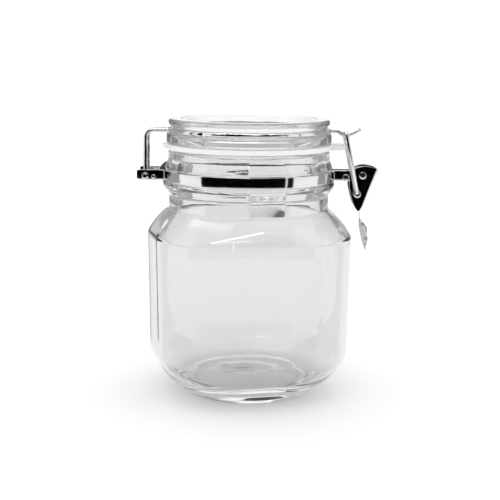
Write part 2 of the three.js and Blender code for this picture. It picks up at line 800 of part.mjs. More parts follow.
// The tongue is a shallow gutter of sheet, bent outward at its end and cut to a leaf.
function tongue() {
  const spine = new THREE.CatmullRomCurve3([
    new THREE.Vector3(pivotX - 0.7, 0, pivotZ - 18.0),
    new THREE.Vector3(pivotX - 0.9, 0, pivotZ - 23.0),
    new THREE.Vector3(pivotX - 0.3, 0, pivotZ - 29.5),
    new THREE.Vector3(pivotX + 1.2, 0, pivotZ - 36.0),
    new THREE.Vector3(pivotX + 3.6, 0, pivotZ - 42.6),
  ]);
  const steps = 12;
  const across = 10;
  const sheet = new THREE.BoxGeometry(leverSheet, 2 * tongueHalfWidth, 1, 1, across, steps);
  const position = sheet.getAttribute("position");
  for (let i = 0; i < position.count; i += 1) {
    const along = 0.5 - position.getZ(i);
    const y = position.getY(i);
    const spot = spine.getPointAt(along);
    const heading = spine.getTangentAt(along);
    const cup = tongueSag * (y / tongueHalfWidth) ** 2;
    const out = position.getX(i) + cup;
    position.setXYZ(i, spot.x - heading.z * out, y, spot.z + heading.x * out);
  }
  const leaf = new THREE.Shape();
  const top = pivotZ - 17.2;
  const tip = pivotZ - 41.4;
  const waist = pivotZ - 22.0;
  const wide = pivotZ - 32.5;
  leaf.moveTo(plateOuter - 0.4, top);
  leaf.bezierCurveTo(plateOuter - 1.4, waist, 3.4, waist, 4.2, waist - 2.2);
  leaf.bezierCurveTo(6.6, waist - 5, 7.0, wide - 1, 5.2, wide - 3.6);
  leaf.bezierCurveTo(4.2, tip + 2.2, 2.2, tip + 0.2, 0, tip);
  leaf.bezierCurveTo(-2.2, tip + 0.2, -4.2, tip + 2.2, -5.2, wide - 3.6);
  leaf.bezierCurveTo(-7.0, wide - 1, -6.6, waist - 5, -4.2, waist - 2.2);
  leaf.bezierCurveTo(-3.4, waist, -plateOuter + 1.4, waist, -plateOuter + 0.4, top);
  const cutter = new THREE.ExtrudeGeometry(leaf, {
    depth: 40,
    bevelEnabled: false,
    curveSegments: 8,
  });
  cutter.rotateX(Math.PI / 2);
  cutter.rotateZ(Math.PI / 2);
  cutter.translate(pivotX - 20, 0, 0);
  return solid(sheet).intersect(solid(cutter));
}

addPiece("jar_glass", jarGlass(), glass);
addPiece("lid_glass", lidGlass(), glass);
addPiece("gasket", gasket(), silicone);
addPiece("lid_bail", lidBail(), steel);
addPiece("band_front", bandHalf(-1), steel);
addPiece("band_rear", bandHalf(1), steel);
const tabFace = hingeTabSpan + stripThickness / 2;
const armFace = leverArmSpan + stripThickness / 2;
addPiece("hinge_tie_rivet", rivet(hingeRivetX, hingeRivetZ, tabFace, hingeRivet), steel);
addPiece("lever_tie_rivet", rivet(tieRivetX, tieRivetZ, armFace, tieRivet), steel);
addPiece("lever_pivot_rivet", rivet(pivotX, pivotZ, plateOuter, pivotRivet), steel);
addPiece("lever", lever(), steel);
addPiece("pull_loop", pullLoop(), steel);

export default root;
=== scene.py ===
"""Looks for the bail clamp jar: fine glass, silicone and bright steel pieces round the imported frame."""

import json
import math

import bpy
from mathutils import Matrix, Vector


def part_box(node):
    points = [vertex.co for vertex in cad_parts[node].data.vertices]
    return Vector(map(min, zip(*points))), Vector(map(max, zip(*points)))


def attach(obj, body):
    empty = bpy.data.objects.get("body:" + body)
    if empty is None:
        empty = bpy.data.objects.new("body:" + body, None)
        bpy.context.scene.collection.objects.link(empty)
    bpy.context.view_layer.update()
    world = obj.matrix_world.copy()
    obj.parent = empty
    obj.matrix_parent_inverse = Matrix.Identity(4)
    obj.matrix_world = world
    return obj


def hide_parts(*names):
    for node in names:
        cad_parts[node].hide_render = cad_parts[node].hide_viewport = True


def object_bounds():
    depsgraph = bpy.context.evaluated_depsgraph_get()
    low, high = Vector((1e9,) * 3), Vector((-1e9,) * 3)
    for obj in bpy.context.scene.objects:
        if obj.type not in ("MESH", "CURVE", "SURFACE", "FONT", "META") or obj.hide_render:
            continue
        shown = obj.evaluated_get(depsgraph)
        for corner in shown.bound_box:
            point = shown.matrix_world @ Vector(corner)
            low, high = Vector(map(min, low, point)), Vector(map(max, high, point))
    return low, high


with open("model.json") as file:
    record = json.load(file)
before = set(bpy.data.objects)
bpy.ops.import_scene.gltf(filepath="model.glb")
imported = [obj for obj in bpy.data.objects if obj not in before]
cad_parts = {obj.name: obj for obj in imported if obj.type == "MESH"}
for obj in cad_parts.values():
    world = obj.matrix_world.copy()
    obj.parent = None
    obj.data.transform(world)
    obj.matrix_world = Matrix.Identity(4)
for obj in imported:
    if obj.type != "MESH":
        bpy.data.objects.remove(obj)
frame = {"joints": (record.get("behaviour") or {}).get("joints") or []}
CAD_LOW, CAD_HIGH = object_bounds()
MM = 0.001


# ---------------------------------------------------------------- places read from the frame


def node_box(node):
    """The low and high corners of a node, in millimetres."""
    low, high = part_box(node)
    return low / MM, high / MM


_, JAR_HIGH = node_box("jar_glass")
LID_LOW, LID_HIGH = node_box("lid_glass")
GASKET_LOW, GASKET_HIGH = node_box("gasket")
BAND_LOW, BAND_HIGH = node_box("band_front")
LEVER_LOW, LEVER_HIGH = node_box("lever")
LOOP_LOW, LOOP_HIGH = node_box("pull_loop")
JOINTS = {joint["name"]: joint for joint in frame["joints"]}


def joint_place(name):
    """Where a joint's axis crosses the XZ plane, in millimetres."""
    x, _, z = JOINTS[name]["pos_m"]
    return x / MM, z / MM


HINGE_X, HINGE_Z = joint_place("lid_hinge")
PIVOT_X, PIVOT_Z = joint_place("lever_pivot")
PIN_X, PIN_Z = joint_place("loop_swing")

# Sizes of the glass body, in millimetres
RIM_TOP = JAR_HIGH.z
BODY_HALF_WIDTH = 52.38
BODY_CORNER_RADIUS = 41.0
BODY_TURN = math.radians(14)
BODY_TAPER = 1.0
BODY_WALL = 3.2
SHOULDER_TOP = 100.3
SHOULDER_BOTTOM = 85.6
SHOULDER_POWER = 1.25
HEEL_TOP = 20.0
HEEL_POWER = 1.2
HEEL_ROUND = 6.0
FOOT_RADIUS = 33.6
RECESS_RADIUS = 29.2
RECESS_DEPTH = 0.8
FLOOR_TOP = 8.6
FLOOR_PANEL_RADIUS = 32.0
FLOOR_PANEL_DEPTH = 1.0
FLOOR_RADIUS = 33.0
NECK_RADIUS = 42.7
SEAT_RADIUS = 44.6
LIP_RADIUS = 45.9
FINISH_RADIUS = 43.1
MOUTH_RADIUS = 37.2
LUG_REACH = 3.4
LUG_SINK = 2.5
LUG_LIFT = 0.4
LUG_HALF_HEIGHT = 6.4
LUG_HALF_WIDTH = 4.6
SHOULDER_STEPS = 36
LATHE_SIDES = 240

# Sizes that the lid and its wire share
FLANGE_LOW = LID_LOW.z + 6.0
FLANGE_HIGH = FLANGE_LOW + 5.3
GROOVE_RADIUS = 41.0

# Sizes of the metal parts
WIRE_RADIUS = 1.1
WIRE_GAP = 0.3
WIRE_SIDES = 18
NOSE_VALLEY_X = PIVOT_X - 9.4
NOSE_VALLEY_Z = 138.4
STRIP_THICKNESS = 0.8
STRIP_WIDTH = BAND_HIGH.z - BAND_LOW.z
STRIP_MIDDLE = (BAND_HIGH.z + BAND_LOW.z) / 2
HINGE_TAB_SPAN = 9.3
LEVER_ARM_SPAN = 4.8
SHEET = 0.8
LEVER_HALF = (LEVER_HIGH.y - LEVER_LOW.y) / 2

# The lever's web, as (x, z) from the lever's pivot, and its direction from its low end
WEB_TOP = (8.3, 3.3)
WEB_LOW = (0.5, -17.4)
WEB_SLOPE = Vector((7.8, 20.7)).normalized()
WEB_LENGTH = 21.95


# ---------------------------------------------------------------- geometry


def filleted(corners, step_degrees=6.0):
    """A path through corners, each [point, radius], with each corner rounded to its radius."""
    points = [Vector(corners[0][0])]
    for before, here, after in zip(corners, corners[1:], corners[2:]):
        corner, radius = Vector(here[0]), here[1]
        come = (corner - Vector(before[0])).normalized()
        go = (Vector(after[0]) - corner).normalized()
        turn = come.angle(go, 0.0)
        if radius <= 0 or turn < 1e-4:
            points.append(corner)
            continue
        start = corner - come * radius * math.tan(turn / 2)
        inward = (go - come * come.dot(go)).normalized()
        steps = max(2, math.ceil(math.degrees(turn) / step_degrees))
        for k in range(steps + 1):
            angle = turn * k / steps
            points.append(
                start + come * radius * math.sin(angle) + inward * radius * (1 - math.cos(angle))
            )
    points.append(Vector(corners[-1][0]))
    return points


def closed_fillets(corners, step_degrees=8.0):
    """The same for a closed outline."""
    ring = [corners[-1], *corners, corners[0]]
    return filleted(ring, step_degrees)[1:-1]


def curved(start, pull, end, steps=10):
    """Points after the start on the curve to the end that a middle point pulls."""
    made = []
    for k in range(1, steps + 1):
        t = k / steps
        made.append(start * (1 - t) ** 2 + pull * 2 * t * (1 - t) + end * t * t)
    return made


def mirrored(corners):
    """The corners of a path's other half, at -Y, in the order that carries the path on."""
    return [[(x, -y, z), radius] for (x, y, z), radius in reversed(corners)]


def mesh_piece(name, points, faces, smooth_angle=35.0):
    """A mesh object whose points are given in millimetres."""
    mesh = bpy.data.meshes.new(name)
    mesh.from_pydata([Vector(p) * MM for p in points], [], faces)
    mesh.update()
    mesh.validate()
    piece = bpy.data.objects.new(name, mesh)
    bpy.context.scene.collection.objects.link(piece)
    bpy.context.view_layer.objects.active = piece
    bpy.ops.object.select_all(action="DESELECT")
    piece.select_set(True)
    bpy.ops.object.mode_set(mode="EDIT")
    bpy.ops.mesh.select_all(action="SELECT")
    bpy.ops.mesh.normals_make_consistent(inside=False)
    bpy.ops.object.mode_set(mode="OBJECT")
    bpy.ops.object.shade_smooth_by_angle(angle=math.radians(smooth_angle))
    piece.select_set(False)
    return piece


def turned(profile, sides, warp=None):
    """Points and faces of a lathe about Z. The profile is (radius, height) points from axis to axis,
    or closed on itself when neither end is on the axis. A warp moves each point, given its angle."""
    points, faces, rings = [], [], []
    for radius, height in profile:
        if radius < 1e-6:
            rings.append([len(points)])
            points.append(Vector((0, 0, height)))
            continue
        ring = []
        for k in range(sides):
            angle = 2 * math.pi * k / sides
            point = Vector((radius * math.cos(angle), radius * math.sin(angle), height))
            ring.append(len(points))
            points.append(warp(point, angle) if warp else point)
        rings.append(ring)
    closed = len(rings[0]) > 1
    pairs = list(zip(rings, rings[1:])) + ([(rings[-1], rings[0])] if closed else [])
    for low, high in pairs:
        for k in range(sides):
            n = (k + 1) % sides
            if len(low) == 1:
                faces.append((low[0], high[n], high[k]))
            elif len(high) == 1:
                faces.append((low[k], low[n], high[0]))
            else:
                faces.append((low[k], low[n], high[n], high[k]))
    return points, faces


def tube(path, radius):
    """Points and faces of a round wire along a path, with closed, slightly rounded ends."""
    headings = []
    for i in range(len(path)):
        back = path[i] - path[max(i - 1, 0)]
        ahead = path[min(i + 1, len(path) - 1)] - path[i]
        headings.append((back.normalized() + ahead.normalized()).normalized())
    first, last = headings[0], headings[-1]
    tip, inset = radius * 0.8, radius * 0.25
    stations = [(path[0], first, tip), (path[0] + first * inset, first, radius)]
    stations += [(p, h, radius) for p, h in zip(path[1:-1], headings[1:-1])]
    stations += [(path[-1] - last * inset, last, radius), (path[-1], last, tip)]
    side = first.orthogonal().normalized()
    rings = []
    for middle, heading, size in stations:
        side = (side - heading * side.dot(heading)).normalized()
        other = heading.cross(side)
        ring = []
        for k in range(WIRE_SIDES):
            angle = 2 * math.pi * k / WIRE_SIDES
            ring.append(middle + (side * math.cos(angle) + other * math.sin(angle)) * size)
        rings.append(ring)
    return loft(rings)


def joined(*parts):
    """Several (points, faces) as one."""
    points, faces = [], []
    for some_points, some_faces in parts:
        start = len(points)
        points += list(some_points)
        faces += [tuple(start + i for i in face) for face in some_faces]
    return points, faces


def along_y(part, x, z, flip=False):
    """A lathe made about Z, laid along Y through (x, z)."""
    points, faces = part
    sign = -1 if flip else 1
    return [Vector((x + p.x, sign * p.z, z + p.y)) for p in points], faces


def loft(rings, closed=False):
    """Points and faces through rings of the same number of points. A closed loft joins its last ring
    to its first, and an open one has end faces."""
    count = len(rings[0])
    points = [p for ring in rings for p in ring]
    faces = []
    for i in range(len(rings) if closed else len(rings) - 1):
        a, b = i * count, (i + 1) % len(rings) * count
        for k in range(count):
            n = (k + 1) % count
            faces.append((a + k, a + n, b + n, b + k))
    if not closed:
        last = (len(rings) - 1) * count
        faces.append(tuple(range(count)))
        faces.append(tuple(last + k for k in range(count)))
    return points, faces


def slab(outline, low, high, bevel=0.14):
    """An outline of (x, z) points, from y = low to y = high, with small rounded edges."""
    count = len(outline)
    flat = [Vector((x, z)) for x, z in outline]
    area = sum(a.cross(b) for a, b in zip(flat, flat[1:] + flat[:1]))
    sign = 1 if area > 0 else -1

    def shrunk(amount):
        """The outline moved inward."""
        ring = []
        for i in range(count):
            back = (flat[i] - flat[i - 1]).normalized()
            ahead = (flat[(i + 1) % count] - flat[i]).normalized()
            along = (back + ahead).normalized()
            normal = Vector((-along.y, along.x)) * sign
            ring.append(flat[i] + normal * amount)
        return ring

    rings = []
    for amount, y in (
        (bevel, low),
        (bevel * 0.3, low + bevel * 0.3),
        (0, low + bevel),
        (0, high - bevel),
        (bevel * 0.3, high - bevel * 0.3),
        (bevel, high),
    ):
        rings.append([Vector((p.x, y, p.y)) for p in shrunk(amount)])
    return loft(rings)


# ---------------------------------------------------------------- materials


def new_material(name):
    """A material with one principled shader: the material, its nodes, its links and the shader."""
    made = bpy.data.materials.new(name)
    made.use_nodes = True
    nodes = made.node_tree.nodes
    nodes.clear()
    output = nodes.new("ShaderNodeOutputMaterial")
    shader = nodes.new("ShaderNodeBsdfPrincipled")
    made.node_tree.links.new(shader.outputs["BSDF"], output.inputs["Surface"])
    return made, nodes, made.node_tree.links, shader


def noise_field(nodes, links, scale, detail=3.0, stretch=(1, 1, 1)):
    """Noise in the object's own coordinates, finer along an axis with a higher stretch."""
    place = nodes.new("ShaderNodeTexCoord")
    mapping = nodes.new("ShaderNodeMapping")
    mapping.inputs["Scale"].default_value = stretch
    field = nodes.new("ShaderNodeTexNoise")
    field.inputs["Scale"].default_value = scale
    field.inputs["Detail"].default_value = detail
    links.new(place.outputs["Object"], mapping.inputs["Vector"])
    links.new(mapping.outputs["Vector"], field.inputs["Vector"])
    return field


def ramp(nodes, links, source, low, high, low_value, high_value):
    """A value that goes from low_value to high_value as the source goes from low to high."""
    made = nodes.new("ShaderNodeMapRange")
    made.inputs["From Min"].default_value = low
    made.inputs["From Max"].default_value = high
    made.inputs["To Min"].default_value = low_value
    made.inputs["To Max"].default_value = high_value
    links.new(source, made.inputs["Value"])
    return made.outputs["Result"]


def bump(nodes, links, height, strength, distance, shader, below=None):
    """A bump on the shader, added to the bump below it where there is one."""
    made = nodes.new("ShaderNodeBump")
    made.inputs["Strength"].default_value = strength
    made.inputs["Distance"].default_value = distance
    links.new(height, made.inputs["Height"])
    if below is not None:
        links.new(below.outputs["Normal"], made.inputs["Normal"])
    links.new(made.outputs["Normal"], shader.inputs["Normal"])
    return made


def glass_material():
    """Pressed soda glass: clear, with the slow waviness of the mould and a faint grain."""
    made, nodes, links, shader = new_material("pressed_glass")
    shader.inputs["Base Color"].default_value = (0.84, 0.836, 0.845, 1)
    shader.inputs["Transmission Weight"].default_value = 1.0
    shader.inputs["IOR"].default_value = 1.5
    waves = noise_field(nodes, links, 26, 2.0, (1, 1, 0.6))
    first = bump(nodes, links, waves.outputs["Fac"], 0.12, 0.0008, shader)
    grain = noise_field(nodes, links, 190, 2.0)
    bump(nodes, links, grain.outputs["Fac"], 0.05, 0.0002, shader, first)
    marks = noise_field(nodes, links, 60, 4.0)
    rough = ramp(nodes, links, marks.outputs["Fac"], 0.35, 0.75, 0.0, 0.03)
    links.new(rough, shader.inputs["Roughness"])
    return made


def steel_material(name, stretch, colour, rough_low, rough_high):
    """Bright stainless steel with fine drawing or rolling lines and light handling marks."""
    made, nodes, links, shader = new_material(name)
    shader.inputs["Metallic"].default_value = 1.0
    shader.inputs["IOR"].default_value = 2.5
    tone = noise_field(nodes, links, 90, 3.0)
    mix = nodes.new("ShaderNodeMix")
    mix.data_type = "RGBA"
    mix.inputs["A"].default_value = (*colour, 1)
    mix.inputs["B"].default_value = (*[c * 0.9 for c in colour], 1)
    links.new(tone.outputs["Fac"], mix.inputs["Factor"])
    links.new(mix.outputs["Result"], shader.inputs["Base Color"])
    lines = noise_field(nodes, links, 900, 2.0, stretch)
    rough = ramp(nodes, links, lines.outputs["Fac"], 0.3, 0.75, rough_low, rough_high)
    links.new(rough, shader.inputs["Roughness"])
    bump(nodes, links, lines.outputs["Fac"], 0.06, 0.0001, shader)
    return made


def silicone_material():
    """Milky silicone: satin, slightly see-through, with a fine moulded grain and a little dust."""
    made, nodes, links, shader = new_material("milky_silicone")
    cloud = noise_field(nodes, links, 70, 4.0)
    mix = nodes.new("ShaderNodeMix")
    mix.data_type = "RGBA"
    mix.inputs["A"].default_value = (0.985, 0.985, 0.98, 1)
    mix.inputs["B"].default_value = (0.95, 0.95, 0.945, 1)
    links.new(cloud.outputs["Fac"], mix.inputs["Factor"])
    links.new(mix.outputs["Result"], shader.inputs["Base Color"])
    shader.inputs["Subsurface Weight"].default_value = 0.25
    shader.inputs["Subsurface Radius"].default_value = (1.0, 1.0, 1.0)
    shader.inputs["Subsurface Scale"].default_value = 0.003
    shader.inputs["Transmission Weight"].default_value = 0.08
    shader.inputs["IOR"].default_value = 1.41
    grain = noise_field(nodes, links, 1400, 2.0)
    rough = ramp(nodes, links, grain.outputs["Fac"], 0.3, 0.7, 0.32, 0.46)
    links.new(rough, shader.inputs["Roughness"])
    bump(nodes, links, grain.outputs["Fac"], 0.12, 0.0001, shader)
    return made


GLASS = glass_material()
WIRE = steel_material("drawn_wire_steel", (0.3, 0.3, 0.3), (0.80, 0.80, 0.81), 0.05, 0.12)
STRIP = steel_material("rolled_strip_steel", (0.25, 0.25, 4.0), (0.78, 0.78, 0.79), 0.05, 0.11)
RIVET = steel_material("rivet_steel", (1, 1, 1), (0.76, 0.76, 0.77), 0.10, 0.2)
SILICONE = silicone_material()


def place(piece, node, material, body, slot):
    """Gives a piece its material, its body and the CAD node that it replaces. The slot is not used."""
    piece.data.materials.append(material)
    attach(piece, body)
    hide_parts(node)
    return piece


# ---------------------------------------------------------------- glass body


def squareness(z):
    """How square the body is at a height: 0 at the round neck and foot, 1 along the sides."""
    if z >= SHOULDER_TOP:
        return 0.0
    if z >= SHOULDER_BOTTOM:
        down = (SHOULDER_TOP - z) / (SHOULDER_TOP - SHOULDER_BOTTOM)
        return (1 - (1 - down) ** SHOULDER_POWER) ** (1 / SHOULDER_POWER)
    if z >= HEEL_TOP:
        return 1.0
    drop = min(1.0, (HEEL_TOP - z) / HEEL_TOP)
    return (1 - drop**HEEL_POWER) ** (1 / HEEL_POWER)


def body_radius(z):
    """Half the body's width across its flats at a height."""
    if z >= SHOULDER_TOP:
        return NECK_RADIUS
    if z >= SHOULDER_BOTTOM:
        return NECK_RADIUS + (BODY_HALF_WIDTH - NECK_RADIUS) * squareness(z)
    if z >= HEEL_TOP:
        lean = (SHOULDER_BOTTOM - z) / (SHOULDER_BOTTOM - HEEL_TOP)
        return BODY_HALF_WIDTH - BODY_TAPER * lean
    return FOOT_RADIUS + (BODY_HALF_WIDTH - BODY_TAPER - FOOT_RADIUS) * squareness(z)


def inner_radius(z):
    """The same for the inside, with the wall thicker at the neck than along the sides."""
    neck_wall = NECK_RADIUS - MOUTH_RADIUS
    share = (body_radius(z) - NECK_RADIUS) / (BODY_HALF_WIDTH - NECK_RADIUS)
    wall = neck_wall + (BODY_WALL - neck_wall) * min(1, max(0, share))
    return body_radius(z) - wall


def squared_reach(angle):
    """How far the squared section reaches at an angle, as a multiple of half its width."""
    folded = (angle - BODY_TURN) % (math.pi / 2)
    a = min(folded, math.pi / 2 - folded)
    flat = BODY_HALF_WIDTH - BODY_CORNER_RADIUS
    if BODY_HALF_WIDTH * math.tan(a) <= flat:
        return 1 / math.cos(a)
    along = flat * (math.cos(a) + math.sin(a))
    reach = along + math.sqrt(along**2 - 2 * flat**2 + BODY_CORNER_RADIUS**2)
    return reach / BODY_HALF_WIDTH


def jar_warp(point, angle):
    """Squares the body's section, and raises the locating lug on the neck at the hinge."""
    radius = math.hypot(point.x, point.y)
    stretch = 1 + squareness(point.z) * (squared_reach(angle) - 1)
    made = Vector((point.x * stretch, point.y * stretch, point.z))
    high = (point.z - STRIP_MIDDLE - LUG_LIFT) / LUG_HALF_HEIGHT
    side = point.y / LUG_HALF_WIDTH
    left = 1 - high**2 - side**2
    if radius > FINISH_RADIUS - 0.2 and point.x < 0 and left > 0:
        reach = SEAT_RADIUS - LUG_SINK + (LUG_REACH + LUG_SINK) * math.sqrt(left)
        if reach > radius:
            made *= reach / radius
            made.z = point.z
    return made


def foot_profile(foot_top):
    """The outside from the axis over the recessed panel and the foot ring to the heel's start."""
    return filleted(
        [
            [(0, RECESS_DEPTH), 0],
            [(RECESS_RADIUS - 0.6, RECESS_DEPTH), 0.5],
            [(RECESS_RADIUS, 0), 0.4],
            [(FOOT_RADIUS - 1.2, 0), 2.4],
            [(body_radius(foot_top), foot_top), 0],
        ]
    )


def neck_profile():
    """The outside from the shoulder over the lip, the band's seat and the rim, and down the mouth."""
    band_floor = BAND_LOW.z - 0.5
    band_ceiling = BAND_HIGH.z + 0.4
    neck = filleted(
        [
            [(NECK_RADIUS, SHOULDER_TOP), 0],
            [(NECK_RADIUS, band_floor - 7.0), 4],
            [(LIP_RADIUS - 0.4, band_floor - 3.0), 1.6],
            [(LIP_RADIUS, band_floor - 1.4), 0.8],
            [(LIP_RADIUS - 0.3, band_floor - 0.2), 0.5],
            [(SEAT_RADIUS, band_floor), 0.4],
            [(SEAT_RADIUS, band_ceiling), 0.4],
            [(SEAT_RADIUS + 0.2, band_ceiling + 0.8), 0.8],
            [(SEAT_RADIUS - 0.3, band_ceiling + 2.2), 2.0],
            [(FINISH_RADIUS, band_ceiling + 5.2), 4.0],
            [(FINISH_RADIUS, RIM_TOP), 1.2],
            [(MOUTH_RADIUS, RIM_TOP), 1.2],
            [(MOUTH_RADIUS, SHOULDER_TOP + 4), 0],
        ]
    )
    longest = 0.9
    fine = []
    for a, b in zip(neck, neck[1:]):
        pieces = max(1, math.ceil((b - a).length / longest)) if a.x > FINISH_RADIUS - 1 else 1
        fine += [a.lerp(b, k / pieces) for k in range(pieces)]
    return fine[1:]


def outer_profile():
    """The outside of the glass, from the base's axis up to the rim and just into the mouth."""
    foot_top, heel_steps, wall_steps = 3.0, 12, 20
    heel_low, heel_high = HEEL_TOP - HEEL_ROUND, HEEL_TOP + HEEL_ROUND
    outer = [(p.x, p.y) for p in foot_profile(foot_top)]
    for k in range(1, heel_steps):
        z = foot_top + (heel_low - foot_top) * k / heel_steps
        outer.append((body_radius(z), z))
    low, mid, top = (Vector((body_radius(z), z)) for z in (heel_low, HEEL_TOP, heel_high))
    outer += [(p.x, p.y) for p in (low, *curved(low, mid, top))]
    for k in range(1, wall_steps):
        z = heel_high + (SHOULDER_BOTTOM - HEEL_TOP - HEEL_ROUND) * k / wall_steps
        outer.append((body_radius(z), z))
    for k in range(SHOULDER_STEPS + 1):
        rise = (1 - math.cos(math.pi * k / SHOULDER_STEPS)) / 2
        z = SHOULDER_BOTTOM + (SHOULDER_TOP - SHOULDER_BOTTOM) * rise
        outer.append((body_radius(z), z))
    return outer + [(p.x, p.y) for p in neck_profile()]


def inner_profile():
    """The inside of the glass, from the shoulder down to the floor's axis."""
    drop, wall_steps, bowl_steps, bowl_power = 1.2, 16, 24, 1.1
    bowl_top = HEEL_TOP + 4
    inner = []
    for k in range(SHOULDER_STEPS + 1):
        rise = (1 + math.cos(math.pi * k / SHOULDER_STEPS)) / 2
        z = SHOULDER_BOTTOM + (SHOULDER_TOP - SHOULDER_BOTTOM) * rise
        inner.append((inner_radius(z - drop), z - drop))
    for k in range(1, wall_steps):
        z = SHOULDER_BOTTOM - drop + (bowl_top - SHOULDER_BOTTOM + drop) * k / wall_steps
        inner.append((inner_radius(z), z))
    for k in range(bowl_steps + 1):
        angle = k / bowl_steps * math.pi / 2
        radius = FLOOR_RADIUS + (inner_radius(bowl_top) - FLOOR_RADIUS) * math.cos(angle)
        inner.append((radius, bowl_top - (bowl_top - FLOOR_TOP) * math.sin(angle) ** bowl_power))
    panel = filleted(
        [
            [(FLOOR_RADIUS, FLOOR_TOP), 0],
            [(FLOOR_PANEL_RADIUS, FLOOR_TOP), 0.3],
            [(FLOOR_PANEL_RADIUS - 0.5, FLOOR_TOP - FLOOR_PANEL_DEPTH), 0.3],
            [(0, FLOOR_TOP - FLOOR_PANEL_DEPTH), 0],
        ]
    )
    return inner + [(p.x, p.y) for p in panel[1:]]


def make_jar():
    points, faces = turned(outer_profile() + inner_profile(), LATHE_SIDES, jar_warp)
    return mesh_piece("jar_glass_fine", points, faces, 50)


# ---------------------------------------------------------------- lid and ring


def make_lid():
    flange, plug, hollow, rim, rim_inner = LID_HIGH.x, 35.3, 30.5, 43.0, 36.4
    panel, panel_thick, groove_high = LID_HIGH.z - 5.4, 4.6, FLANGE_HIGH + 2.8
    profile = filleted(
        [
            [(0, panel - panel_thick), 0],
            [(hollow - 3, panel - panel_thick), 1.6],
            [(hollow + 0.4, LID_LOW.z), 1.2],
            [(plug - 0.9, LID_LOW.z), 1.2],
            [(plug, FLANGE_LOW), 0.4],
            [(flange, FLANGE_LOW), 1.2],
            [(flange, FLANGE_HIGH), 0.9],
            [(GROOVE_RADIUS, FLANGE_HIGH), 0.7],
            [(GROOVE_RADIUS, groove_high), 1.2],
            [(rim, LID_HIGH.z - 2.6), 1.6],
            [(rim, LID_HIGH.z), 1.4],
            [(rim_inner, LID_HIGH.z), 1.8],
            [(rim_inner - 2.2, panel), 2.4],
            [(0, panel), 0],
        ]
    )
    return mesh_piece("lid_glass_fine", *turned(profile, LATHE_SIDES), 50)


def make_gasket():
    inner = 35.6
    ring = -GASKET_LOW.y
    tab_half, tab_round, tab_end = 6.4, 4.0, GASKET_HIGH.x
    bump_half, bump_end = 4.0, -GASKET_LOW.x

    def reach(angle):
        """How far out the ring's plan goes at an angle from the X axis."""
        x, y = math.cos(angle), math.sin(angle)
        if x > 0 and abs(y) < tab_half / ring:
            side = tab_half / max(abs(y), 1e-9)
            end = tab_end / x
            cx, cy = tab_end - tab_round, tab_half - tab_round
            along = cx * x + cy * abs(y)
            under = along**2 - cx**2 - cy**2 + tab_round**2
            if end * abs(y) > cy and under > 0:
                corner = along + math.sqrt(under)
                if side * x > cx:
                    return max(ring, corner)
            return max(ring, min(side, end))
        if x < 0:
            swell = 1 - (ring * y / bump_half) ** 2
            if swell > 0:
                return ring + (bump_end - ring) * math.sqrt(swell) * 0.98
        return ring

    full_turn, tab_steps, swell_steps, swell_angle = 2 * math.pi, 40, 20, 0.1
    tab_angle = math.asin(tab_half / ring)
    angles = {round(full_turn * k / 220, 6) for k in range(220)}
    for k in range(tab_steps + 1):
        near_tab = round(tab_angle * (0.7 + 0.3 * k / tab_steps), 6)
        angles |= {near_tab, -near_tab % full_turn}
    for k in range(-swell_steps, swell_steps + 1):
        angles.add(round(math.pi + swell_angle * k / swell_steps, 6))
    low, high, soft = GASKET_LOW.z, GASKET_HIGH.z, 0.75
    sections = []
    for angle in sorted(angles):
        out = reach(angle)
        section = closed_fillets(
            [[(inner, low), 0.5], [(out, low), soft], [(out, high), soft], [(inner, high), 0.5]], 22
        )
        sections.append([Vector((p.x * math.cos(angle), p.x * math.sin(angle), p.y)) for p in section])
    return mesh_piece("gasket_fine", *loft(sections, closed=True), 50)


# ---------------------------------------------------------------- wire parts


def domed_head(radius, base, height, sides=32):
    """A closed domed disc about Z, from z = base up."""
    profile = filleted(
        [
            [(0, base), 0],
            [(radius, base), 0.1],
            [(radius, base + 0.45 * height), 0.25 * height],
            [(0.72 * radius, base + 0.9 * height), 0.6],
            [(0, base + height), 0],
        ],
        15,
    )
    return turned(profile, sides)


